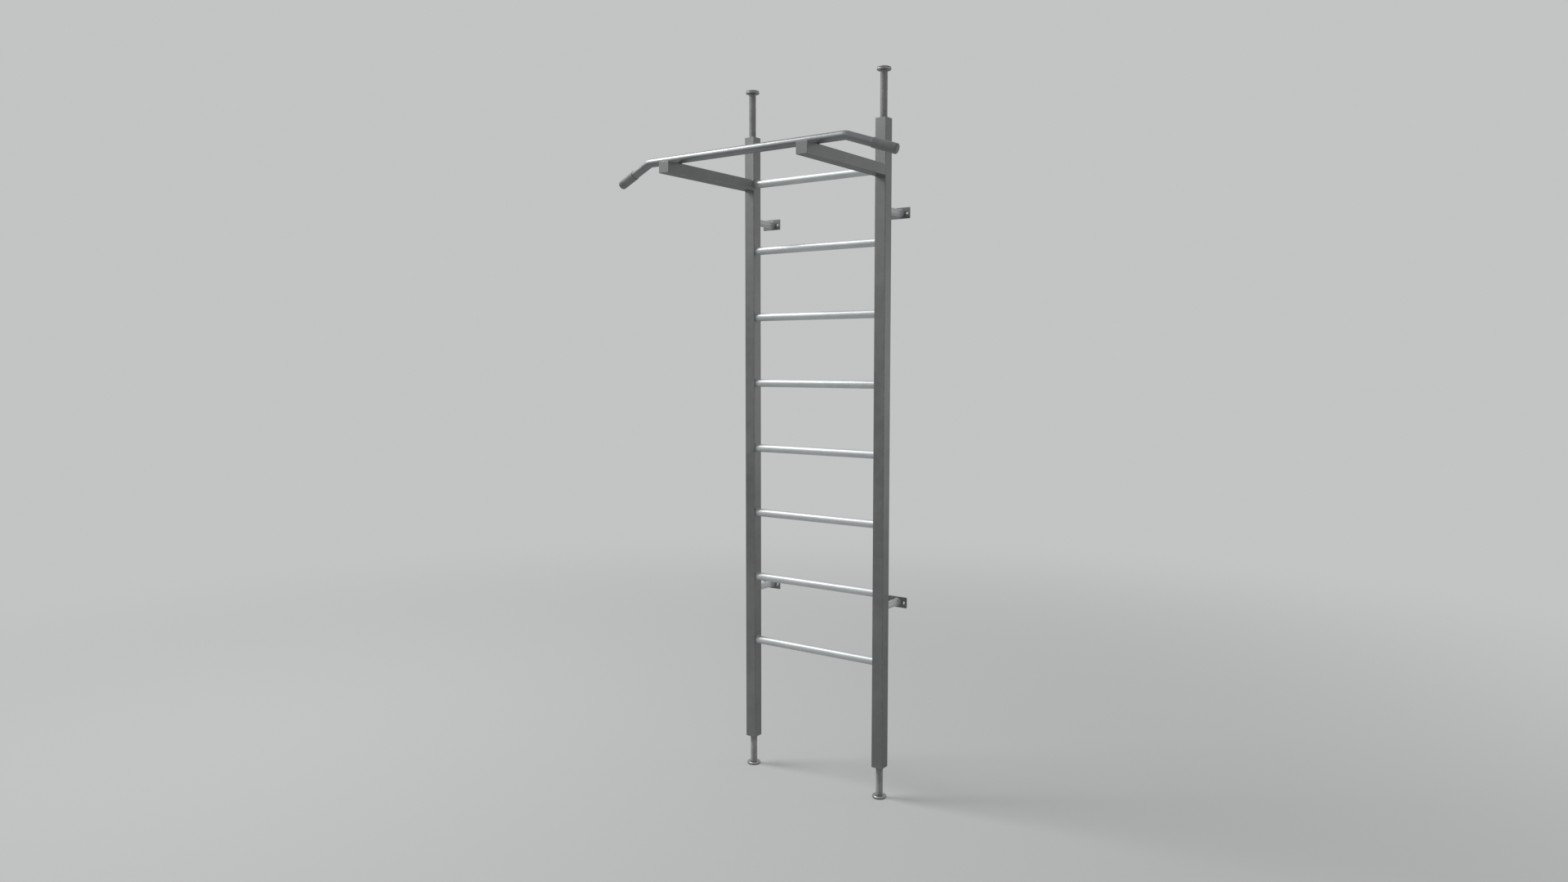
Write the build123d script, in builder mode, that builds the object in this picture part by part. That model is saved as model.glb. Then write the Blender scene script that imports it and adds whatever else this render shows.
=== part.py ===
# Gymnastic wall bars: a steel ladder jacked between floor and ceiling, with a pull-up bar
# on two arms and four stand-offs to the wall behind it.
# Millimetres, +Z up. The room side of the ladder faces -Y and the wall is on the +Y side.
# The origin is on the floor, midway between the posts and midway between the arms' front
# ends and the wall.
import os
from math import cos, radians, sin

from build123d import *

os.makedirs("parts", exist_ok=True)

# How far the room's surfaces are from the posts
lower_reach = 105.0  # from the floor up to the posts' lower ends
upper_reach = 159.0  # from the posts' upper ends up to the ceiling
wall_reach = 114.5  # from the posts' centre plane back to the wall

# Posts: square tube
post_spacing = 526.0  # centre to centre
post_width = 40.0
post_wall = 2.0
post_corner = 2.5
post_inner_corner = 0.5
post_length = 2126.0

# Rungs: round tube between the posts' inner faces
rung_count = 8
rung_radius = 13.45
rung_wall = 2.0
first_rung_rise = 355.0  # from the posts' lower ends up to the lowest rung's axis
last_rung_drop = 161.0  # from the posts' upper ends down to the highest rung's axis

# Arms: rectangular tube, as wide as the posts, closed by an end plate
arm_height = 36.0
arm_wall = 2.0
arm_corner = 2.5
arm_inner_corner = 0.5
arm_reach = 443.0  # from the posts' front faces to the arms' front ends
arm_drop = 148.0  # from the posts' upper ends down to the arms' tops
arm_plate_thickness = 2.0
arm_plate_corner = 2.0

# Pull-up bar: round tube that lies on the arms, with its ends bent down and back
bar_radius = 13.45
bar_wall = 2.0
bar_setback = 60.0  # from the arms' front ends back to the bar's axis
bar_straight = 751.0  # between the two bends
bar_end_length = 163.0  # from a bend to the end of its grip
bar_bend_angle = 21.2  # degrees
bar_bend_roll = 28.0  # degrees that the ends lean back from straight down
bar_bend_radius = 40.0

# Grip sleeves over the bar's ends
grip_length = 78.0
grip_wall = 1.6
grip_end_thickness = 6.0
grip_rounding = 4.0
grip_edge = 0.8
grip_clearance = 0.1

# Spindles: threaded rods in the posts' ends, drawn at the thread's outer radius
spindle_radius = 12.0
spindle_hidden = 80.0  # of the upper rods, inside their posts; the lower rods are as long
spindle_chamfer = 1.5
journal_radius = 7.0
journal_lip = 0.6  # of the journal, past the retaining ring
running_clearance = 0.05  # radial, of the rod in its bush and of the journal in its pad

# Threaded bushes in the posts' ends
bush_length = 40.0
bush_corner_relief = 0.5  # larger corner than the tube's inner one

# Retaining rings in the journals' grooves
ring_thickness = 1.2
ring_outer_radius = 9.5
ring_groove_depth = 1.0
ring_clearance = 0.05
ring_opening = 4.0
ring_play = 0.1

# Pads and feet: steel disc with a rubber facing
disc_radius = 23.5
disc_web = 3.8  # over the retaining ring's recess
disc_bevel = 2.0
disc_recess_margin = 1.5  # around the retaining ring
disc_end_gap = 0.3  # between the journal's end and the rubber
rubber_thickness = 3.0
rubber_inset = 1.0
rubber_bevel = 0.8

# Wall stand-offs: round tube from the posts' backs to the wall plates
standoff_radius = 12.0
standoff_wall = 2.0
lower_standoff_rise = 538.0  # from the posts' lower ends
upper_standoff_drop = 288.0  # from the posts' upper ends

# Wall plates with two countersunk screw holes each
plate_width = 72.0
plate_height = 36.0
plate_thickness = 4.0
plate_corner = 2.0
screw_spacing = 50.0
screw_hole_radius = 3.25
countersink_radius = 6.2
countersink_angle = 90  # degrees, across

# Places that follow from the sizes above
front_reach = post_width / 2 + arm_reach
post_y = (front_reach - wall_reach) / 2
post_front_y = post_y - post_width / 2
post_back_y = post_y + post_width / 2
post_top = lower_reach + post_length
ceiling_height = post_top + upper_reach
post_bore = post_width - 2 * post_wall
rung_length = post_spacing - post_width
rung_pitch = (post_length - first_rung_rise - last_rung_drop) / (rung_count - 1)
arm_front_y = post_front_y - arm_reach
arm_width = post_width
arm_top = post_top - arm_drop
arm_middle = arm_top - arm_height / 2
arm_tube_length = arm_reach - arm_plate_thickness
wall_y = post_y + wall_reach
plate_front_y = wall_y - plate_thickness
standoff_length = plate_front_y - post_back_y
groove_radius = journal_radius - ring_groove_depth
recess_radius = ring_outer_radius + disc_recess_margin
recess_depth = ring_play + ring_thickness + journal_lip + disc_end_gap
disc_thickness = disc_web + recess_depth
pad_height = rubber_thickness + disc_thickness
spindle_length = upper_reach - pad_height + spindle_hidden
standoff_heights = {
    "lower": lower_reach + lower_standoff_rise,
    "upper": post_top - upper_standoff_drop,
}
sides = {"left": -1, "right": 1}

# Posts
for side, sign in sides.items():
    with BuildPart() as post:
        with BuildSketch(Plane((sign * post_spacing / 2, post_y, lower_reach))):
            RectangleRounded(post_width, post_width, post_corner)
            RectangleRounded(post_bore, post_bore, post_inner_corner, mode=Mode.SUBTRACT)
        extrude(amount=post_length)
    post.part.label = f"{side}_post"
    export_step(post.part, f"parts/{side}_post.step")

# Rungs, counted from the floor
for index in range(rung_count):
    rung_height = lower_reach + first_rung_rise + index * rung_pitch
    rung_start = Plane((-rung_length / 2, post_y, rung_height), z_dir=(1, 0, 0))
    with BuildPart() as rung:
        with BuildSketch(rung_start):
            Circle(rung_radius)
            Circle(rung_radius - rung_wall, mode=Mode.SUBTRACT)
        extrude(amount=rung_length)
    rung.part.label = f"rung_{index + 1}"
    export_step(rung.part, f"parts/rung_{index + 1}.step")

# Arms and their end plates
for side, sign in sides.items():
    arm_x = sign * post_spacing / 2
    arm_start = Plane((arm_x, post_front_y, arm_middle), x_dir=(1, 0, 0), z_dir=(0, -1, 0))
    with BuildPart() as arm:
        with BuildSketch(arm_start):
            RectangleRounded(arm_width, arm_height, arm_corner)
            RectangleRounded(
                arm_width - 2 * arm_wall,
                arm_height - 2 * arm_wall,
                arm_inner_corner,
                mode=Mode.SUBTRACT,
            )
        extrude(amount=arm_tube_length)
    arm.part.label = f"{side}_arm"
    export_step(arm.part, f"parts/{side}_arm.step")

    with BuildPart() as arm_plate:
        with BuildSketch(arm_start.offset(arm_tube_length)):
            RectangleRounded(arm_width, arm_height, arm_plate_corner)
        extrude(amount=arm_plate_thickness)
    arm_plate.part.label = f"{side}_arm_end_plate"
    export_step(arm_plate.part, f"parts/{side}_arm_end_plate.step")

# Pull-up bar: the straight middle rests on the arms, and the ends lean down and back
bar_y = arm_front_y + bar_setback
bar_height = arm_top + bar_radius
end_run = cos(radians(bar_bend_angle))
end_back = sin(radians(bar_bend_angle)) * sin(radians(bar_bend_roll))
end_drop = sin(radians(bar_bend_angle)) * cos(radians(bar_bend_roll))
bends = {side: Vector(sign * bar_straight / 2, bar_y, bar_height) for side, sign in sides.items()}
end_ways = {side: Vector(sign * end_run, end_back, -end_drop) for side, sign in sides.items()}
tube_ends = {
    side: bends[side] + end_ways[side] * (bar_end_length - grip_end_thickness) for side in sides
}
with BuildPart() as bar:
    with BuildLine():
        FilletPolyline(
            tube_ends["left"],
            bends["left"],
            bends["right"],
            tube_ends["right"],
            radius=bar_bend_radius,
        )
    with BuildSketch(Plane(tube_ends["left"], z_dir=-end_ways["left"])):
        Circle(bar_radius)
        Circle(bar_radius - bar_wall, mode=Mode.SUBTRACT)
    sweep()
bar.part.label = "pull_up_bar"
export_step(bar.part, "parts/pull_up_bar.step")

# Grip sleeves: closed, rounded ends that slide over the bar's ends
grip_radius = bar_radius + grip_clearance + grip_wall
for side in sides:
    grip_end = Plane(bends[side] + end_ways[side] * bar_end_length, z_dir=-end_ways[side])
    grip_axis = Axis(grip_end.origin, grip_end.z_dir)
    with BuildPart() as grip:
        with BuildSketch(grip_end):
            Circle(grip_radius)
        extrude(amount=grip_length)
        fillet(grip.edges().sort_by(grip_axis)[0], grip_rounding)
        chamfer(grip.edges().sort_by(grip_axis)[-1], grip_edge)
        with BuildSketch(grip_end.offset(grip_end_thickness)):
            Circle(bar_radius + grip_clearance)
        extrude(amount=grip_length, mode=Mode.SUBTRACT)
    grip.part.label = f"{side}_grip_sleeve"
    export_step(grip.part, f"parts/{side}_grip_sleeve.step")

# The four post ends. Each seat plane lies on the floor or the ceiling and points at its post.
for side, sign in sides.items():
    for level in ("lower", "upper"):
        seat_x = sign * post_spacing / 2
        if level == "lower":
            seat = Plane((seat_x, post_y, 0), z_dir=(0, 0, 1))
            exposure = lower_reach
        else:
            seat = Plane((seat_x, post_y, ceiling_height), z_dir=(0, 0, -1))
            exposure = upper_reach
        seat_axis = Axis(seat.origin, seat.z_dir)
        shoulder = seat.offset(pad_height)
        recess_floor = seat.offset(rubber_thickness + recess_depth)
        name = f"{level}_{side}"

        # Threaded bush inside the post's end
        with BuildPart() as bush:
            with BuildSketch(seat.offset(exposure)):
                RectangleRounded(post_bore, post_bore, post_inner_corner + bush_corner_relief)
                Circle(spindle_radius + running_clearance, mode=Mode.SUBTRACT)
            extrude(amount=bush_length)
        bush.part.label = f"{name}_bush"
        export_step(bush.part, f"parts/{name}_bush.step")

        # Spindle: threaded rod, a journal for the pad, and the journal's groove
        with BuildPart() as spindle:
            with BuildSketch(shoulder):
                Circle(spindle_radius)
            extrude(amount=spindle_length)
            chamfer(spindle.edges().filter_by(GeomType.CIRCLE), spindle_chamfer)
            with BuildSketch(shoulder):
                Circle(journal_radius)
            extrude(amount=-(pad_height - rubber_thickness - disc_end_gap))
            with BuildSketch(recess_floor):
                Circle(journal_radius)
                Circle(groove_radius, mode=Mode.SUBTRACT)
            extrude(amount=-(ring_play + ring_thickness), mode=Mode.SUBTRACT)
        spindle.part.label = f"{name}_spindle_rod"
        export_step(spindle.part, f"parts/{name}_spindle_rod.step")

        # Retaining ring: an open spring ring that lies on the groove's outer side
        with BuildPart() as ring:
            with BuildSketch(recess_floor.offset(-(ring_play + ring_thickness))):
                Circle(ring_outer_radius)
                Circle(groove_radius + ring_clearance, mode=Mode.SUBTRACT)
                with Locations((ring_outer_radius / 2, 0)):
                    Rectangle(ring_outer_radius, ring_opening, mode=Mode.SUBTRACT)
            extrude(amount=ring_thickness)
        ring.part.label = f"{name}_retaining_ring"
        export_step(ring.part, f"parts/{name}_retaining_ring.step")

        # Steel disc, bevelled towards the spindle and recessed for the ring
        with BuildPart() as disc:
            with BuildSketch(seat.offset(rubber_thickness)):
                Circle(disc_radius)
            extrude(amount=disc_thickness)
            chamfer(disc.edges().filter_by(GeomType.CIRCLE).sort_by(seat_axis)[-1], disc_bevel)
            with Locations(-seat.offset(rubber_thickness)):
                CounterBoreHole(
                    radius=journal_radius + running_clearance,
                    counter_bore_radius=recess_radius,
                    counter_bore_depth=recess_depth,
                    depth=disc_thickness,
                )
        disc.part.label = f"{name}_pad_disc"
        export_step(disc.part, f"parts/{name}_pad_disc.step")

        # Rubber facing between the disc and the floor or ceiling
        with BuildPart() as facing:
            with BuildSketch(seat):
                Circle(disc_radius - rubber_inset)
            extrude(amount=rubber_thickness)
            chamfer(facing.edges().filter_by(GeomType.CIRCLE).sort_by(seat_axis)[0], rubber_bevel)
        facing.part.label = f"{name}_pad_rubber"
        export_step(facing.part, f"parts/{name}_pad_rubber.step")

# Wall stand-offs and their plates
for side, sign in sides.items():
    for level, height in standoff_heights.items():
        back = Plane(
            (sign * post_spacing / 2, post_back_y, height), x_dir=(1, 0, 0), z_dir=(0, 1, 0)
        )
        plate_plane = back.offset(standoff_length)
        with BuildPart() as standoff:
            with BuildSketch(back):
                Circle(standoff_radius)
                Circle(standoff_radius - standoff_wall, mode=Mode.SUBTRACT)
            extrude(amount=standoff_length)
        standoff.part.label = f"{level}_{side}_standoff"
        export_step(standoff.part, f"parts/{level}_{side}_standoff.step")

        with BuildPart() as plate:
            with BuildSketch(plate_plane):
                RectangleRounded(plate_width, plate_height, plate_corner)
            extrude(amount=plate_thickness)
            with Locations(-plate_plane):
                with GridLocations(screw_spacing, 0, 2, 1):
                    CounterSinkHole(
                        radius=screw_hole_radius,
                        counter_sink_radius=countersink_radius,
                        depth=plate_thickness,
                        counter_sink_angle=countersink_angle,
                    )
        plate.part.label = f"{level}_{side}_wall_plate"
        export_step(plate.part, f"parts/{level}_{side}_wall_plate.step")
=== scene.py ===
import bpy
import math
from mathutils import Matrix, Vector


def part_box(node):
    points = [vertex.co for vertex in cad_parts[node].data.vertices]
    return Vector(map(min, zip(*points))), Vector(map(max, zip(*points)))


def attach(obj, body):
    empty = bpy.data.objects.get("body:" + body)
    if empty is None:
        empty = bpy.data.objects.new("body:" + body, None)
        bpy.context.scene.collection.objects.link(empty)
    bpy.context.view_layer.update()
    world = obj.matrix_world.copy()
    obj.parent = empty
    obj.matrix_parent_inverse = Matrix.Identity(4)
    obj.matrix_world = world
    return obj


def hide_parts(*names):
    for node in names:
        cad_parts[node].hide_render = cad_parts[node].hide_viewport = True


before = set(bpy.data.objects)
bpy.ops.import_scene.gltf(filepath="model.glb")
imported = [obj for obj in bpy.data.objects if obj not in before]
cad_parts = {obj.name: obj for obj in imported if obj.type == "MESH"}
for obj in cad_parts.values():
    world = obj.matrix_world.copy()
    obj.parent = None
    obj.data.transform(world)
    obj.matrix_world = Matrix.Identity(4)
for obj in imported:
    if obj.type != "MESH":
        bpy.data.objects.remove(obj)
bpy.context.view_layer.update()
sides = {"left": -1, "right": 1}
millimetres = 1000  # in a metre
meshing = {
    "merge": 0.000002,  # metres within which points are one
    "flatAngle": 40,  # degrees; a sharper edge shades hard
    "rimAngle": 60,  # degrees; a sharper edge gets eased
    "rimSteps": 2, "easingSteps": 4,
    "along": 0.9,  # share of a direction that counts as along an axis
    "cornerGain": 9,  # how fast wear sets in round a corner
}
print("frame loaded:", len(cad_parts), "nodes")


# Selecting and finishing pieces

def onlyThis(piece):
    bpy.ops.object.select_all(action="DESELECT")
    piece.select_set(True)
    bpy.context.view_layer.objects.active = piece


def startFrom(adder, **start):  # a primitive whose place is then in its mesh
    bpy.ops.object.select_all(action="DESELECT")
    adder(**start)
    bpy.ops.object.transform_apply(location=True, rotation=True, scale=True)
    return bpy.context.object


def pick(piece, kind, wanted):  # enters edit mode with the wanted elements selected
    onlyThis(piece)
    bpy.ops.object.mode_set(mode="EDIT")
    bpy.context.tool_settings.mesh_select_mode = (kind == "VERT", kind == "EDGE", kind == "FACE")
    bpy.ops.mesh.select_all(action="DESELECT")
    bpy.ops.object.mode_set(mode="OBJECT")
    mesh = piece.data
    items = {"VERT": mesh.vertices, "EDGE": mesh.edges, "FACE": mesh.polygons}[kind]
    for item in items:
        item.select = wanted(item)
    bpy.ops.object.mode_set(mode="EDIT")


def pickAll(piece):
    pick(piece, "VERT", lambda vertex: True)


def leaveEdit():
    bpy.ops.object.mode_set(mode="OBJECT")


def edgeWay(piece, edge):
    ends = [piece.data.vertices[index].co for index in edge.vertices]
    return (ends[1] - ends[0]).normalized()


def alongEuler(way):  # turns a primitive's Z axis to point along way
    return Vector((0, 0, 1)).rotation_difference(Vector(way)).to_euler()


def applyModifier(piece, kind, **settings):
    onlyThis(piece)
    modifier = piece.modifiers.new(kind.title(), kind)
    for name, value in settings.items():
        setattr(modifier, name, value)
    bpy.ops.object.modifier_apply(modifier=modifier.name)


def easeEdges(piece, width, steps=meshing["rimSteps"], degrees=meshing["rimAngle"]):
    applyModifier(piece, "BEVEL", width=width, segments=steps, limit_method="ANGLE",
                  angle_limit=math.radians(degrees))


def joined(pieces):
    bpy.ops.object.select_all(action="DESELECT")
    for piece in pieces:
        piece.select_set(True)
    bpy.context.view_layer.objects.active = pieces[0]
    bpy.ops.object.join()
    return bpy.context.object


def closed(threshold=meshing["merge"]):  # in edit mode: no doubles, no open ends, all faces outwards
    bpy.ops.mesh.select_all(action="SELECT")
    bpy.ops.mesh.remove_doubles(threshold=threshold)
    bpy.ops.mesh.fill_holes(sides=0)
    bpy.ops.mesh.select_all(action="SELECT")
    bpy.ops.mesh.normals_make_consistent(inside=False)
    leaveEdit()


def smoothed(piece, degrees=meshing["flatAngle"]):  # flats stay flat and rounded corners shade softly
    onlyThis(piece)
    bpy.ops.object.shade_smooth_by_angle(angle=math.radians(degrees))
    applyModifier(piece, "WEIGHTED_NORMAL", keep_sharp=True, weight=100)


def markFaces(piece, name, share):  # share(face), from 0 to 1, is read by the piece's finish
    marks = piece.data.attributes.new(name, "FLOAT", "FACE")
    for face, mark in zip(piece.data.polygons, marks.data):
        mark.value = share(face)


def cornerShare(face):  # 0 on the flats of a square-sided piece and 1 on its rounded corners
    return min(1, meshing["cornerGain"] * (1 - max(abs(part) for part in face.normal)))


def copied(piece, shift=(0, 0, 0)):  # a copy with its own mesh, moved in edit mode
    onlyThis(piece)
    bpy.ops.object.duplicate(linked=False)
    copy = bpy.context.object
    pickAll(copy)
    bpy.ops.transform.translate(value=shift)
    leaveEdit()
    return copy


def camel(name):
    first, *others = name.split("_")
    return first + "".join(word.title() for word in others)


def hand(piece, name, body, slot, finish, *nodes):  # names a piece and fixes it to its body
    piece.name = name
    piece.data.name = name
    piece.data.materials.clear()
    piece.data.materials.append(finish)
    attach(piece, body)
    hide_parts(*nodes)


# Turned pieces

def turned(profile, foot, way, steps):  # from (radius, rise) points, in millimetres along way
    foot = Vector(foot)
    way = Vector(way)
    profile = [(radius / millimetres, rise / millimetres) for radius, rise in profile]
    radius, rise = profile[0]
    piece = startFrom(bpy.ops.mesh.primitive_circle_add, vertices=steps, radius=radius, fill_type="NOTHING",
                      location=foot + way * rise, rotation=alongEuler(way))
    pickAll(piece)
    for nextRadius, nextRise in profile[1:]:
        bpy.ops.mesh.extrude_region_move(TRANSFORM_OT_translate={"value": way * (nextRise - rise)})
        grown = nextRadius / radius
        bpy.ops.transform.resize(value=(grown, grown, grown), center_override=foot + way * nextRise)
        radius, rise = nextRadius, nextRise
    closed()
    return piece


def eased(corners, steps=meshing["easingSteps"]):  # (radius, rise, easing) corners as profile points
    profile = []
    for index, (radius, rise, easing) in enumerate(corners):
        corner = Vector((radius, rise))
        if not easing:
            profile.append((radius, rise))
            continue
        before = (Vector(corners[index - 1][:2]) - corner).normalized() * easing
        after = (Vector(corners[(index + 1) % len(corners)][:2]) - corner).normalized() * easing
        for step in range(steps + 1):
            turn = step / steps * math.pi / 2
            profile.append(tuple(corner + before * (1 - math.sin(turn)) + after * (1 - math.cos(turn))))
    return profile


# Shader maths: a wire is a socket that takes part in sums

class Wire:
    def __init__(self, finish, socket):
        self.finish = finish
        self.socket = socket

    def reckon(self, operation, first, second):
        return self.finish.node("ShaderNodeMath", {"operation": operation}, {0: first, 1: second})

    def __add__(self, other):
        return self.reckon("ADD", self, other)

    def __radd__(self, other):
        return self.reckon("ADD", other, self)

    def __sub__(self, other):
        return self.reckon("SUBTRACT", self, other)

    def __rsub__(self, other):
        return self.reckon("SUBTRACT", other, self)

    def __mul__(self, other):
        return self.reckon("MULTIPLY", self, other)

    def __rmul__(self, other):
        return self.reckon("MULTIPLY", other, self)

    def swing(self, reach):  # a noise's rise and fall about its middle
        return (self - 0.5) * reach


class Finish:
    def __init__(self, tree):
        self.tree = tree

    def feed(self, socket, value):
        if isinstance(value, Wire):
            self.tree.links.new(value.socket, socket)
        else:
            socket.default_value = value

    def node(self, kind, settings=None, inputs=None, output=0):
        made = self.tree.nodes.new(kind)
        for name, value in (settings or {}).items():
            setattr(made, name, value)
        for name, value in (inputs or {}).items():
            self.feed(made.inputs[name], value)
        return Wire(self, made.outputs[output])

    def place(self):
        return self.node("ShaderNodeTexCoord", output="Object")

    def between(self, value, fromLow, fromHigh, toLow=0.0, toHigh=1.0):
        wanted = {"Value": value, "From Min": fromLow, "From Max": fromHigh,
                  "To Min": toLow, "To Max": toHigh}
        return self.node("ShaderNodeMapRange", {"interpolation_type": "SMOOTHSTEP"}, wanted)

    def noise(self, vector, kind):  # a kind with ends is spread from the one to the other
        wanted = {"Vector": vector, "Scale": kind.get("scale", 1.0), "Detail": kind.get("detail", 2.0),
                  "Roughness": kind.get("roughness", 0.5)}
        made = self.node("ShaderNodeTexNoise", None, wanted)
        return self.between(made, *kind["ends"]) if "ends" in kind else made

    def stretched(self, vector, scale):
        return self.node("ShaderNodeMapping", None, {"Vector": vector, "Scale": scale})

    def mixed(self, factor, first, second):
        return self.node("ShaderNodeMix", {"data_type": "RGBA"}, {0: factor, 6: first, 7: second}, output=2)

    def bump(self, height, kind):
        wanted = {"Height": height, "Distance": kind["height"], "Strength": kind["strength"]}
        return self.node("ShaderNodeBump", None, wanted)

    def attribute(self, name):  # 0 on a piece that has none of that name
        return self.node("ShaderNodeAttribute", {"attribute_name": name}, output="Fac")


def startMaterial(name, **constants):
    material = bpy.data.materials.new(name)
    material.use_nodes = True
    surface = material.node_tree.nodes["Principled BSDF"]
    for socket, value in constants.items():
        surface.inputs[socket].default_value = value
    finish = Finish(material.node_tree)

    def dress(colour, rough, normal):
        finish.feed(surface.inputs["Base Color"], colour)
        finish.feed(surface.inputs["Roughness"], rough)
        finish.feed(surface.inputs["Normal"], normal)
        return material

    return finish, dress


# Metallic powder coat on the welded steel: mid grey on the frame and the bar, silver on rungs and stand-offs

silver = {
    "dark": (0.53, 0.552, 0.562, 1), "light": (0.63, 0.654, 0.665, 1), "worn": (0.40, 0.40, 0.395, 1),
    "metallic": 0.4, "roughness": 0.48,
}
coats = {  # handledHalf is half the length, in metres, that hands and feet rub
    "frame": {
        "dark": (0.178, 0.180, 0.180, 1), "light": (0.24, 0.243, 0.243, 1), "worn": (0.48, 0.48, 0.475, 1),
        "metallic": 0.6, "roughness": 0.38, "handledHalf": 0,
    },
    "bar": {
        "dark": (0.205, 0.216, 0.221, 1), "light": (0.27, 0.283, 0.288, 1), "worn": (0.36, 0.36, 0.355, 1),
        "metallic": 0.6, "roughness": 0.42, "handledHalf": 0.36,
    },
    "rung": {**silver, "handledHalf": 0.22},
    "standoff": {**silver, "handledHalf": 0},
}
coatLook = {
    "peel": {"scale": 520, "height": 0.00011, "strength": 0.45},
    "flake": {"scale": 2600, "detail": 1.0},
    "drift": {"scale": 5, "detail": 3.0},
    "smudge": {"scale": 34, "detail": 3.0, "ends": (0.35, 0.65)},
    "chip": {"scale": 240, "detail": 4.0, "roughness": 0.65, "ends": (0.50, 0.64)},
    "graze": {"stretch": (14, 700, 700), "ends": (0.60, 0.68)},  # along the rungs and the bar
    "tone": {"drift": 0.42, "flake": 0.52, "smudge": 0.06, "ends": (0.32, 0.68)},
    "rough": {"drift": 0.10, "flake": 0.14, "smudge": 0.06, "worn": 0.08, "polish": 0.10, "graze": 0.08},
    "wornShare": 0.45, "grazeShare": 0.4, "handledCore": 0.35,
    "bead": (0.30, 0.305, 0.305, 1), "beadShare": 0.6,
}


def powderCoat(piece):
    kind = coats[piece]
    sway = coatLook["rough"]
    share = coatLook["tone"]
    finish, dress = startMaterial(f"{piece}Coat", Metallic=kind["metallic"])
    place = finish.place()
    flake = finish.noise(place, coatLook["flake"])
    drift = finish.noise(place, coatLook["drift"])
    peel = finish.noise(place, coatLook["peel"])
    smudge = finish.noise(place, coatLook["smudge"])
    chipped = finish.noise(place, coatLook["chip"])
    bead = finish.attribute("weldBead") * coatLook["beadShare"]
    worn = finish.attribute("wear") * chipped * coatLook["wornShare"]
    rough = kind["roughness"] + drift.swing(sway["drift"]) + flake.swing(sway["flake"])
    rough = rough + smudge.swing(sway["smudge"]) - worn * sway["worn"]
    if kind["handledHalf"]:
        along = finish.node("ShaderNodeSeparateXYZ", None, {"Vector": place}, output="X")
        reach = finish.node("ShaderNodeMath", {"operation": "ABSOLUTE"}, {0: along})
        core = kind["handledHalf"] * coatLook["handledCore"]
        rubbed = finish.between(reach, core, kind["handledHalf"], 1.0, 0.0)
        grain = finish.stretched(place, coatLook["graze"]["stretch"])
        graze = finish.noise(grain, coatLook["graze"]) * rubbed
        worn = worn + graze * smudge * coatLook["grazeShare"]
        rough = rough - rubbed * smudge * sway["polish"] + graze * sway["graze"]
    tone = drift * share["drift"] + flake * share["flake"] + smudge * share["smudge"]
    painted = finish.mixed(finish.between(tone, *share["ends"]), kind["dark"], kind["light"])
    painted = finish.mixed(bead, painted, coatLook["bead"])
    return dress(finish.mixed(worn, painted, kind["worn"]), rough, finish.bump(peel, coatLook["peel"]))


frameCoat = powderCoat("frame")
barCoat = powderCoat("bar")
rungCoat = powderCoat("rung")
standoffCoat = powderCoat("standoff")


# Dull zinc plating on the spindles and pads, with turning marks

zinc = {
    "dark": (0.34, 0.34, 0.345, 1), "light": (0.46, 0.46, 0.455, 1), "worn": (0.60, 0.60, 0.59, 1),
    "spangle": {"scale": 240, "detail": 3.0, "roughness": 0.6, "swing": 0.14},
    "drift": {"scale": 22},
    "toneEnds": (0.35, 0.65), "wornEnds": (0.40, 0.6, 0.2, 1.0), "wornShare": 0.4,
    "marks": {"across": 60, "height": 0.00004, "strength": 0.3},
    "threadZinc": {"metallic": 0.5, "roughness": 0.60, "ringScale": 60},
    "padZinc": {"metallic": 0.85, "roughness": 0.40, "ringScale": 2600},
}


def zincPlate(name):
    kind = zinc[name]
    marks = zinc["marks"]
    finish, dress = startMaterial(name, Metallic=kind["metallic"])
    place = finish.place()
    spangle = finish.noise(place, zinc["spangle"])
    drift = finish.noise(place, zinc["drift"])
    worn = finish.attribute("wear") * finish.between(spangle, *zinc["wornEnds"]) * zinc["wornShare"]
    tone = finish.between(spangle * 0.5 + drift * 0.5, *zinc["toneEnds"])
    colour = finish.mixed(worn, finish.mixed(tone, zinc["dark"], zinc["light"]), zinc["worn"])
    rings = finish.stretched(place, (marks["across"], marks["across"], kind["ringScale"]))
    rough = kind["roughness"] + spangle.swing(zinc["spangle"]["swing"])
    return dress(colour, rough, finish.bump(finish.noise(rings, marks), marks))


threadZinc = zincPlate("threadZinc")
padZinc = zincPlate("padZinc")


# Fine-grained grey plastic of the grips, black rubber of the facings with a dusty bloom

moulded = {
    "gripPlastic": {
        "dark": (0.175, 0.18, 0.183, 1), "light": (0.215, 0.22, 0.223, 1), "roughness": 0.46,
        "grain": {"scale": 1500, "height": 0.00012, "strength": 0.35, "swing": 0.2},
        "drift": {"scale": 40, "detail": 3.0, "ends": (0.35, 0.65)},
    },
    "facingRubber": {
        "dark": (0.018, 0.018, 0.018, 1), "light": (0.05, 0.048, 0.045, 1), "roughness": 0.7,
        "grain": {"scale": 900, "detail": 3.0, "height": 0.0001, "strength": 0.5, "swing": 0.2},
        "drift": {"scale": 70, "detail": 3.0, "ends": (0.4, 0.7)},
    },
}


def mouldedFinish(name):
    kind = moulded[name]
    finish, dress = startMaterial(name)
    place = finish.place()
    grain = finish.noise(place, kind["grain"])
    colour = finish.mixed(finish.noise(place, kind["drift"]), kind["dark"], kind["light"])
    rough = kind["roughness"] + grain.swing(kind["grain"]["swing"])
    return dress(colour, rough, finish.bump(grain, kind["grain"]))


gripPlastic = mouldedFinish("gripPlastic")
facingRubber = mouldedFinish("facingRubber")


# Plain machined steel of the bushes and blackened spring steel of the retaining rings

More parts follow.
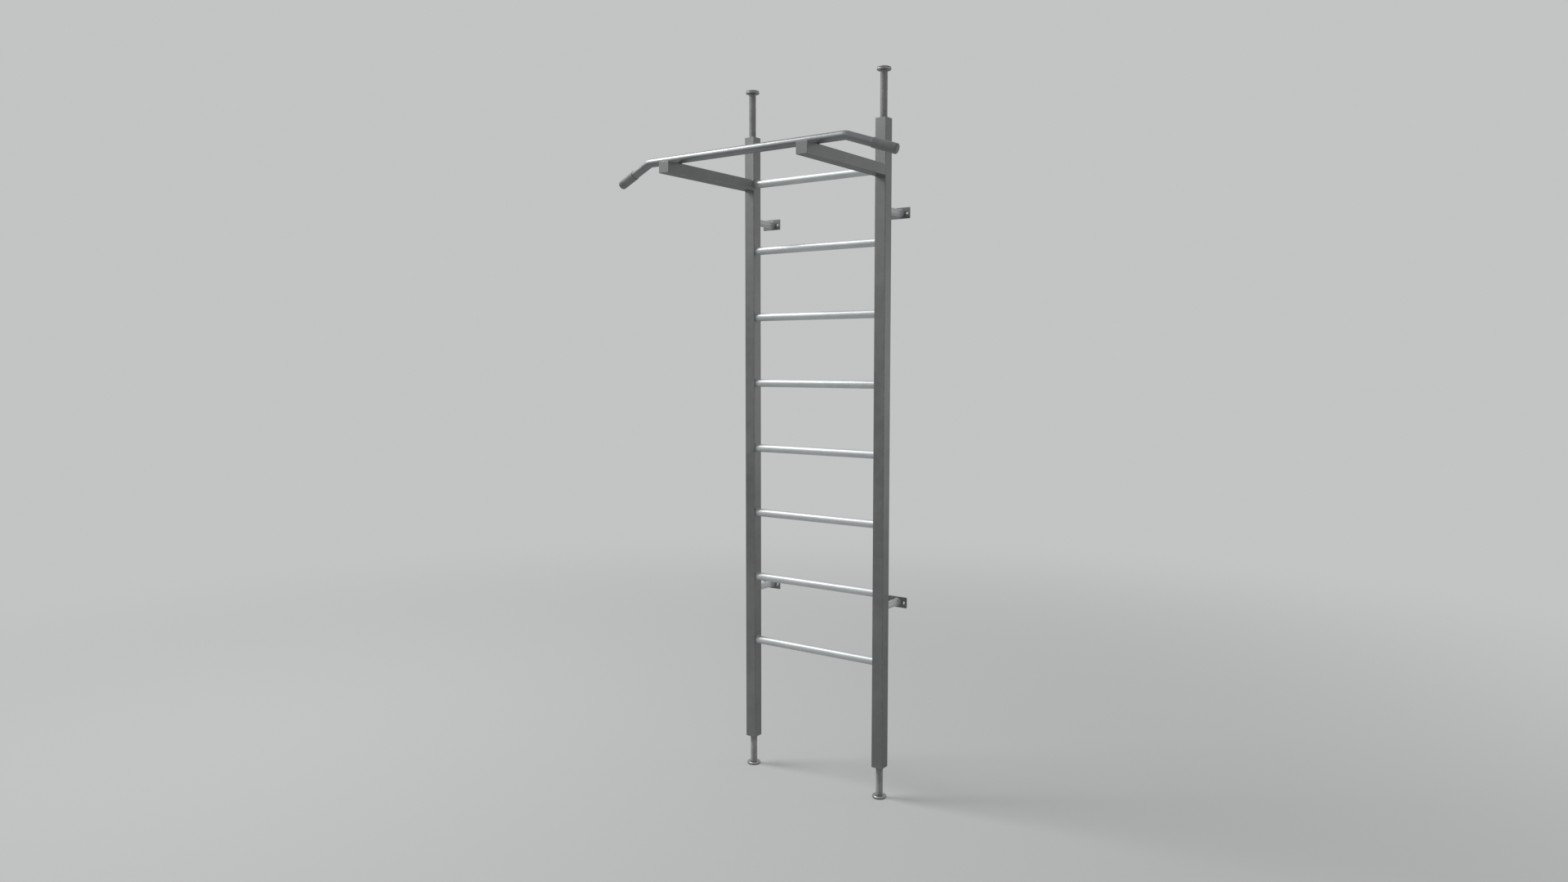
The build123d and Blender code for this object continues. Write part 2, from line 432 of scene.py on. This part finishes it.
machined = {
    "mill": {"stretch": (90, 2200, 90), "height": 0.00003, "strength": 0.4, "swing": 0.25},
    "stain": {"scale": 120, "detail": 3.0, "ends": (0.35, 0.7)},
    "bushSteel": {"dark": (0.22, 0.215, 0.21, 1), "light": (0.36, 0.355, 0.345, 1), "roughness": 0.42},
    "ringSteel": {"dark": (0.05, 0.05, 0.055, 1), "light": (0.10, 0.10, 0.105, 1), "roughness": 0.38},
}


def machinedSteel(name):
    kind = machined[name]
    mill = machined["mill"]
    finish, dress = startMaterial(name, Metallic=1.0)
    place = finish.place()
    lines = finish.noise(finish.stretched(place, mill["stretch"]), mill)
    colour = finish.mixed(finish.noise(place, machined["stain"]), kind["dark"], kind["light"])
    return dress(colour, kind["roughness"] + lines.swing(mill["swing"]), finish.bump(lines, mill))


bushSteel = machinedSteel("bushSteel")
ringSteel = machinedSteel("ringSteel")
print("finishes made")


# Weld beads

weld = {  # ring fillets in millimetres, straight beads in metres
    "leg": 2.4, "sunk": 0.2, "fillet": ((0.86, 0.34), (0.63, 0.63), (0.34, 0.86)),
    "ringSteps": 108, "ripple": 0.00034,
    "size": 0.0021, "sideSteps": 10, "pitch": 0.0016, "drawnIn": 0.10,
}


def ringWeld(centre, axis, radius):  # a fillet where a tube stands on a flat; axis points away from the flat
    inner = radius * millimetres
    leg = weld["leg"]
    sunk = weld["sunk"]
    profile = [(inner - sunk, -sunk), (inner + leg, -sunk), (inner + leg, sunk / 2)]
    profile += [(inner + out * leg, up * leg) for out, up in weld["fillet"]]
    profile += [(inner + sunk / 2, leg), (inner - sunk, leg), (inner - sunk, -sunk)]
    bead = turned(profile, centre, axis, weld["ringSteps"])
    markFaces(bead, "weldBead", lambda face: 1)
    centre = Vector(centre)
    axis = Vector(axis)
    first = axis.orthogonal().normalized()
    second = axis.cross(first).normalized()

    def valley(vertex):  # between two ripples, on the side that shows
        off = vertex.co - centre
        turn = math.atan2(off.dot(second), off.dot(first)) / (2 * math.pi)
        out = (off - axis * off.dot(axis)).length
        return round(turn * weld["ringSteps"]) % 2 == 0 and out > radius and off.dot(axis) > 0

    pick(bead, "VERT", valley)
    bpy.ops.transform.shrink_fatten(value=-weld["ripple"])
    leaveEdit()
    return bead


def straightWeld(start, end):
    start = Vector(start)
    end = Vector(end)
    length = (end - start).length
    way = (end - start).normalized()
    cuts = round(length / weld["pitch"])
    bead = startFrom(bpy.ops.mesh.primitive_cylinder_add, vertices=weld["sideSteps"], radius=weld["size"],
                     depth=length, end_fill_type="TRIFAN", location=(start + end) / 2,
                     rotation=alongEuler(way))
    pick(bead, "EDGE", lambda edge: abs(edgeWay(bead, edge).dot(way)) > meshing["along"])
    bpy.ops.mesh.subdivide(number_cuts=cuts)
    leaveEdit()
    pick(bead, "VERT", lambda vertex: round((vertex.co - start).dot(way) / length * (cuts + 1)) % 2 == 0)
    bpy.ops.transform.shrink_fatten(value=-weld["drawnIn"] * weld["size"])
    leaveEdit()
    return bead


# Tubes: square-sided with bevelled corners and a real wall, or round with a weld fillet at each end

def bevelAlong(piece, axis, kind):
    pick(piece, "EDGE", lambda edge: abs(edgeWay(piece, edge)[axis]) > meshing["along"])
    bpy.ops.mesh.bevel(offset=kind["corner"], segments=kind["cornerSteps"], affect="EDGES")
    leaveEdit()


def longAxis(size):
    return max(range(3), key=lambda index: size[index])


def boxTube(node, kind):
    low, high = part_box(node)
    size = high - low
    axis = longAxis(size)
    tube = startFrom(bpy.ops.mesh.primitive_cube_add, size=1, location=(low + high) / 2, scale=size)
    bevelAlong(tube, axis, kind)
    pick(tube, "FACE", lambda face: abs(face.normal[axis]) > meshing["along"])
    bpy.ops.mesh.delete(type="FACE")
    leaveEdit()
    applyModifier(tube, "SOLIDIFY", thickness=kind["wall"], offset=-1, use_even_offset=True)
    easeEdges(tube, kind["rim"])
    markFaces(tube, "wear", cornerShare)
    return tube


def weldedRod(node, kind):
    low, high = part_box(node)
    size = high - low
    axis = longAxis(size)
    middle = (low + high) / 2
    way = Vector([float(index == axis) for index in range(3)])
    tube = startFrom(bpy.ops.mesh.primitive_cylinder_add, vertices=kind["steps"], radius=kind["radius"],
                     depth=size[axis], location=middle, rotation=kind["turn"])
    easeEdges(tube, kind["rim"])
    reach = way * size[axis] / 2
    ends = [(middle - reach, way), (middle + reach, -way)]
    beads = [ringWeld(centre, inward, kind["radius"]) for centre, inward in ends]
    rod = joined([tube, *beads])
    smoothed(rod)
    return rod


# Posts

post = {"corner": 0.0025, "cornerSteps": 5, "wall": 0.002, "rim": 0.0004}


def makePosts():
    tube = boxTube("left_post", post)
    smoothed(tube)
    right = copied(tube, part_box("right_post")[0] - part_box("left_post")[0])
    hand(tube, "leftPostTube", "ladder_frame", "posts", frameCoat, "left_post")
    hand(right, "rightPostTube", "ladder_frame", "posts", frameCoat, "right_post")


makePosts()
print("posts made")


# Rungs

rung = {"radius": 0.01345, "steps": 96, "rim": 0.0003, "turn": (0, math.pi / 2, 0)}


def makeRungs():
    lowest = weldedRod("rung_1", rung)
    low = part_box("rung_1")[0]
    count = sum(name.startswith("rung_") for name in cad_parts)
    for number in range(2, count + 1):
        copy = copied(lowest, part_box(f"rung_{number}")[0] - low)
        hand(copy, f"rungTube{number}", "ladder_frame", "rungs", rungCoat, f"rung_{number}")
    hand(lowest, "rungTube1", "ladder_frame", "rungs", rungCoat, "rung_1")
    print("rungs made:", count)


makeRungs()


# Arms: rectangular tube welded to the post above and below, closed by a welded plate

arm = {
    "corner": 0.0025, "cornerSteps": 5, "wall": 0.002, "rim": 0.0005,
    "plateEdge": 0.0009, "plateEdgeSteps": 3,
}


def makeArms():
    tube = boxTube("left_arm", arm)
    low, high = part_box("left_arm")
    welds = [straightWeld((low.x + arm["corner"], high.y, z), (high.x - arm["corner"], high.y, z))
             for z in (low.z, high.z)]
    leftArm = joined([tube, *welds])
    smoothed(leftArm)
    plateLow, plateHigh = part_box("left_arm_end_plate")
    plate = startFrom(bpy.ops.mesh.primitive_cube_add, size=1, location=(plateLow + plateHigh) / 2,
                      scale=plateHigh - plateLow)
    bevelAlong(plate, 1, arm)
    easeEdges(plate, arm["plateEdge"], arm["plateEdgeSteps"])
    markFaces(plate, "wear", cornerShare)
    smoothed(plate)
    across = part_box("right_arm")[0] - low
    rightArm = copied(leftArm, across)
    rightPlate = copied(plate, across)
    for side, armPiece, platePiece in (("left", leftArm, plate), ("right", rightArm, rightPlate)):
        hand(armPiece, f"{side}ArmTube", "ladder_frame", "arms", frameCoat, f"{side}_arm")
        hand(platePiece, f"{side}ArmPlate", "ladder_frame", "arms", frameCoat, f"{side}_arm_end_plate")


makeArms()
print("arms made")


# Pull-up bar: one round tube, bent at both ends, welded down on the arms

bar = {
    "radius": 0.01345, "steps": 96, "straight": 0.751, "bend": math.radians(21.2), "roll": math.radians(28),
    "bendRadius": 0.040, "bendSteps": 8, "endLength": 0.163, "gripEnd": 0.006, "merge": 0.000005,
    "weldOut": 0.0062, "weldUp": 0.0012,
}
barLow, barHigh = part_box("pull_up_bar")
barY = barLow.y + bar["radius"]
barZ = barHigh.z - bar["radius"]


def bendPoint(sign):
    return Vector((sign * bar["straight"] / 2, barY, barZ))


def endWay(sign):  # from a bend out to its tip
    out = math.sin(bar["bend"])
    return Vector((sign * math.cos(bar["bend"]), out * math.sin(bar["roll"]), -out * math.cos(bar["roll"])))


def makeBar():
    cut = bar["bendRadius"] * math.tan(bar["bend"] / 2)  # from a bend's corner to where its arc starts
    endRun = bar["endLength"] - bar["gripEnd"] - cut
    inward = -endWay(-1)
    turnAxis = Vector((0, math.cos(bar["roll"]), math.sin(bar["roll"])))
    start = bendPoint(-1) - inward * (endRun + cut)
    tube = startFrom(bpy.ops.mesh.primitive_circle_add, vertices=bar["steps"], radius=bar["radius"],
                     fill_type="NOTHING", location=start, rotation=alongEuler(inward))
    pickAll(tube)
    bpy.ops.mesh.extrude_region_move(TRANSFORM_OT_translate={"value": inward * endRun})
    across = Vector((1, 0, 0))
    bends = [(-1, inward, across * (bar["straight"] - 2 * cut)), (1, across, endWay(1) * endRun)]
    for sign, before, run in bends:
        arcStart = bendPoint(sign) - before * cut
        centre = arcStart + turnAxis.cross(before) * bar["bendRadius"]
        bpy.ops.mesh.spin(steps=bar["bendSteps"], angle=-bar["bend"], center=centre, axis=turnAxis)
        bpy.ops.mesh.extrude_region_move(TRANSFORM_OT_translate={"value": run})
    closed(bar["merge"])
    welds = []
    for side in sides:
        low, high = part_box(f"{side}_arm")
        z = high.z + bar["weldUp"]
        welds += [straightWeld((low.x + arm["corner"], y, z), (high.x - arm["corner"], y, z))
                  for y in (barY - bar["weldOut"], barY + bar["weldOut"])]
    piece = joined([tube, *welds])
    smoothed(piece)
    hand(piece, "pullUpBar", "ladder_frame", "bar", barCoat, "pull_up_bar")


makeBar()
print("pull-up bar made")


# Grip sleeves: closed, rounded caps that slide over the bar's ends (millimetres)

grip = {
    "length": 78, "bore": 13.55, "outside": 15.15, "end": 6, "rounding": 4, "roundingSteps": 6,
    "mouthEdge": 0.8, "mouthEasing": 0.2, "boreEasing": 0.3, "tipFlat": 9.55, "steps": 96,
}


def makeGrips():
    profile = [(grip["bore"], grip["end"])] + eased([
        (grip["bore"], grip["length"], grip["boreEasing"]),
        (grip["outside"] - grip["mouthEdge"], grip["length"], grip["mouthEasing"]),
        (grip["outside"], grip["length"] - grip["mouthEdge"], grip["mouthEasing"]),
        (grip["outside"], 0, grip["rounding"]),
        (grip["tipFlat"], 0, 0),
    ], grip["roundingSteps"])
    for side, sign in sides.items():
        tip = bendPoint(sign) + endWay(sign) * bar["endLength"]
        sleeve = turned(profile, tip, -endWay(sign), grip["steps"])
        smoothed(sleeve)
        hand(sleeve, f"{side}Grip", "ladder_frame", "grips", gripPlastic, f"{side}_grip_sleeve")


makeGrips()
print("grips made")


# Wall stand-offs, and their plates with eased edges

standoff = {
    "radius": 0.012, "steps": 72, "rim": 0.0003, "turn": (math.pi / 2, 0, 0),
    "plateEdge": 0.0006, "plateEdgeAngle": 35, "plateMerge": 0.00001, "plateFlat": 1,
}


def easedCopy(node, kind):  # a merged copy of a CAD node with its edges eased
    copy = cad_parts[node].copy()
    copy.data = copy.data.copy()
    copy.parent = None
    for name in list(copy.keys()):
        del copy[name]
    bpy.context.scene.collection.objects.link(copy)
    onlyThis(copy)
    bpy.ops.mesh.customdata_custom_splitnormals_clear()
    bpy.ops.object.mode_set(mode="EDIT")
    bpy.ops.mesh.select_all(action="SELECT")
    bpy.ops.mesh.remove_doubles(threshold=kind["plateMerge"])
    bpy.ops.mesh.dissolve_limited(angle_limit=math.radians(kind["plateFlat"]))
    leaveEdit()
    easeEdges(copy, kind["plateEdge"], degrees=kind["plateEdgeAngle"])
    markFaces(copy, "wear", cornerShare)
    smoothed(copy)
    return copy


def makeStandoffs():
    firstTube = weldedRod("lower_left_standoff", standoff)
    firstPlate = easedCopy("lower_left_wall_plate", standoff)
    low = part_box("lower_left_standoff")[0]
    made = {"lower_left": (firstTube, firstPlate)}
    for name in ("lower_right", "upper_left", "upper_right"):
        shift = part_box(f"{name}_standoff")[0] - low
        made[name] = (copied(firstTube, shift), copied(firstPlate, shift))
    for name, (tubePiece, platePiece) in made.items():
        start = camel(name)
        hand(tubePiece, f"{start}StandoffTube", "ladder_frame", "standoffs", standoffCoat, f"{name}_standoff")
        hand(platePiece, f"{start}WallPlate", "ladder_frame", "plates", frameCoat, f"{name}_wall_plate")


makeStandoffs()
print("stand-offs made")


# Spindles: a rolled thread, with a plain neck and a grooved journal at the pad

thread = {
    "pitch": 0.003, "crest": 0.0120, "root": 0.01040, "steps": 32, "crestBand": 0.0002, "merge": 0.000001,
    "profile": ((0.0, 0), (0.10, 0), (0.42, 1), (0.56, 1), (0.90, 0), (1.0, 0)),  # share of a pitch, depth
    "flatAngle": 45,
}
neck = {  # from the floor up, in millimetres
    "top": 12.0, "steps": 72,
    "corners": ((6.0, 3.3, 0), (7.0, 3.3, 0.3), (7.0, 3.9, 0), (6.0, 3.9, 0), (6.0, 5.2, 0), (7.0, 5.2, 0),
                (7.0, 9.0, 0), (10.4, 9.0, 0.6), (10.4, 12.0, 0)),
}


def threadedRod(x, y, low, high):
    turns = math.ceil((high - low) / thread["pitch"]) + 2  # one spare turn at each end, which is cut off
    depth = thread["crest"] - thread["root"]
    points = [(thread["root"] + depth * out, 0, share * thread["pitch"]) for share, out in thread["profile"]]
    mesh = bpy.data.meshes.new("thread")
    mesh.from_pydata(points, [(index, index + 1) for index in range(len(points) - 1)], [])
    rod = bpy.data.objects.new("thread", mesh)
    bpy.context.scene.collection.objects.link(rod)
    applyModifier(rod, "SCREW", axis="Z", screw_offset=thread["pitch"], iterations=turns,
                  steps=thread["steps"], render_steps=thread["steps"],
                  use_merge_vertices=True, merge_threshold=thread["merge"])
    pickAll(rod)
    bpy.ops.transform.translate(value=(x, y, low - thread["pitch"]))
    bpy.ops.mesh.remove_doubles(threshold=meshing["merge"])
    for z, way in ((low, -1), (high, 1)):
        bpy.ops.mesh.select_all(action="SELECT")
        bpy.ops.mesh.bisect(plane_co=(x, y, z), plane_no=(0, 0, way), clear_outer=True, use_fill=True)
    bpy.ops.mesh.select_all(action="SELECT")
    bpy.ops.mesh.normals_make_consistent(inside=False)
    leaveEdit()
    crestFrom = thread["crest"] - thread["crestBand"]
    markFaces(rod, "wear", lambda face: (face.center.xy - Vector((x, y))).length > crestFrom)
    return rod


def makeSpindle():
    low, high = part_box("lower_left_spindle_rod")
    x = (low.x + high.x) / 2
    y = (low.y + high.y) / 2
    rod = threadedRod(x, y, neck["top"] / millimetres, high.z)
    shaft = turned(eased(neck["corners"]), (x, y, 0), (0, 0, 1), neck["steps"])
    spindle = joined([rod, shaft])
    smoothed(spindle, thread["flatAngle"])
    return spindle


# Pads and feet: a turned steel disc, recessed for the retaining ring, on a rubber facing

pad = {  # from the floor up, in millimetres
    "steps": 120,
    "disc": ((23.5, 3.0, 0.4), (23.5, 7.0, 0.7), (21.5, 9.0, 0.7), (7.05, 9.0, 0.4), (7.05, 5.2, 0),
             (11.0, 5.2, 0), (11.0, 3.0, 0)),
    "facing": ((12.0, 0.7, 0), (12.7, 0.0, 0.3), (21.7, 0.0, 0.4), (22.5, 0.8, 0.4), (22.5, 3.0, 0)),
}


def makePad():
    low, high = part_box("lower_left_pad_disc")
    foot = ((low.x + high.x) / 2, (low.y + high.y) / 2, 0)
    outline = eased(pad["disc"])
    disc = turned(outline + [outline[0]], foot, (0, 0, 1), pad["steps"])
    smoothed(disc)
    facing = turned(eased(pad["facing"]), foot, (0, 0, 1), pad["steps"])
    smoothed(facing)
    return disc, facing


def makePostEnds():
    first = (makeSpindle(), *makePad())
    low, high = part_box("lower_left_spindle_rod")
    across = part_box("lower_right_spindle_rod")[0] - low
    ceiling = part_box("upper_left_pad_rubber")[1].z
    middle = Vector((low.x + high.x, low.y + high.y, ceiling)) / 2
    made = {"lower_left": first, "lower_right": tuple(copied(piece, across) for piece in first)}
    upper = []
    for piece in first:  # turned end over end, which leaves the thread right-handed
        copy = copied(piece)
        pickAll(copy)
        bpy.ops.transform.rotate(value=math.pi, orient_axis="X", center_override=middle)
        leaveEdit()
        upper.append(copy)
    made["upper_left"] = tuple(upper)
    made["upper_right"] = tuple(copied(piece, across) for piece in upper)
    for name, (spindle, disc, facing) in made.items():
        start = camel(name)
        hand(spindle, f"{start}SpindleThread", f"{name}_spindle", "spindles", threadZinc,
             f"{name}_spindle_rod")
        hand(disc, f"{start}PadDisc", f"{name}_pad", "pads", padZinc, f"{name}_pad_disc")
        hand(facing, f"{start}PadFacing", f"{name}_pad", "facings", facingRubber, f"{name}_pad_rubber")


makePostEnds()
print("spindles and pads made")


# Pieces that stay as the CAD has them get their own finish

keptFinishes = {"_bush": bushSteel, "_retaining_ring": ringSteel}
for name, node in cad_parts.items():
    for ending, finish in keptFinishes.items():
        if name.endswith(ending):
            node.data.materials.clear()
            node.data.materials.append(finish)


# Floor, backdrop and light

studio = {
    "pale": (0.545, 0.55, 0.552, 1), "floor": (0.56, 0.565, 0.565, 1), "ambient": 0.36,
    "white": (1, 1, 1, 1),
    "floorHalf": 40.0, "fade": (0.9, 5.5, 0.35, 1.0),  # metres out, and the backdrop's share there
}


def makeFloor():
    floor = startFrom(bpy.ops.mesh.primitive_plane_add, size=2 * studio["floorHalf"], location=(0, 0, 0))
    floor.name = "studioFloor"
    material = bpy.data.materials.new("studioFloor")
    material.use_nodes = True
    tree = material.node_tree
    tree.nodes.clear()
    finish = Finish(tree)
    away = finish.node("ShaderNodeVectorMath", {"operation": "LENGTH"}, {0: finish.place()}, output="Value")
    fade = finish.between(away, *studio["fade"])
    seen = finish.node("ShaderNodeLightPath", output="Is Camera Ray")
    lit = finish.node("ShaderNodeBsdfDiffuse", None, {"Color": studio["floor"]})
    far = finish.node("ShaderNodeEmission", None, {"Color": studio["pale"], "Strength": 1.0})
    mixed = finish.node("ShaderNodeMixShader", None, {0: fade * seen, 1: lit, 2: far})
    end = tree.nodes.new("ShaderNodeOutputMaterial")
    tree.links.new(mixed.socket, end.inputs["Surface"])
    floor.data.materials.append(material)


def makeWorld():
    world = bpy.data.worlds.new("studioWorld")
    bpy.context.scene.world = world
    world.use_nodes = True
    tree = world.node_tree
    tree.nodes.clear()
    finish = Finish(tree)
    path = tree.nodes.new("ShaderNodeLightPath")
    seen = Wire(finish, path.outputs["Is Camera Ray"])
    mirrored = Wire(finish, path.outputs["Is Glossy Ray"])
    through = Wire(finish, path.outputs["Is Transmission Ray"])
    light = {"Color": studio["white"], "Strength": studio["ambient"]}
    ambient = finish.node("ShaderNodeBackground", None, light)
    backdrop = finish.node("ShaderNodeBackground", None, {"Color": studio["pale"], "Strength": 1.0})
    shown = finish.node("ShaderNodeMath", {"operation": "MINIMUM"}, {0: seen + mirrored + through, 1: 1.0})
    mixed = finish.node("ShaderNodeMixShader", None, {0: shown, 1: ambient, 2: backdrop})
    end = tree.nodes.new("ShaderNodeOutputWorld")
    tree.links.new(mixed.socket, end.inputs["Surface"])


lamps = {  # metres and watts
    "key": {"at": (-3.1, -1.2, 4.9), "to": (0.0, 0.15, 1.2), "size": (1.8, 1.8), "power": 172},
    "front": {"at": (-2.3, -3.0, 3.3), "to": (0.0, 0.15, 1.9), "size": (1.6, 1.6), "power": 11},
    "back": {"at": (3.6, 3.4, 1.2), "to": (0.0, 0.15, 0.9), "size": (2.0, 2.2), "power": 18},
}


def makeLamp(name, settings):
    light = bpy.data.lights.new(name, "AREA")
    light.shape = "RECTANGLE"
    light.size = settings["size"][0]
    light.size_y = settings["size"][1]
    light.energy = settings["power"]
    lamp = bpy.data.objects.new(name, light)
    bpy.context.scene.collection.objects.link(lamp)
    lamp.location = settings["at"]
    aim = Vector(settings["to"]) - Vector(settings["at"])
    lamp.rotation_euler = aim.to_track_quat("-Z", "Y").to_euler()


makeFloor()
makeWorld()
for name, settings in lamps.items():
    makeLamp(name, settings)
print("studio made")


# Camera at the photograph's place: metres from the posts' centre plane and the floor, and degrees

view = {
    "right": 2.0207, "front": 3.0087, "height": 1.4545, "azimuth": 35.545, "down": 4.253,
    "lens": 24.444, "sensor": 36,
}
postLow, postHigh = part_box("left_post")
postY = (postLow.y + postHigh.y) / 2
cameraData = bpy.data.cameras.new("studioCamera")
cameraData.lens = view["lens"]
cameraData.sensor_width = view["sensor"]
camera = bpy.data.objects.new("studioCamera", cameraData)
bpy.context.scene.collection.objects.link(camera)
camera.location = (view["right"], postY - view["front"], view["height"])
camera.rotation_euler = (math.radians(90 - view["down"]), 0, math.radians(view["azimuth"]))
bpy.context.scene.camera = camera
bpy.context.scene.view_settings.view_transform = "Standard"
print("camera set")
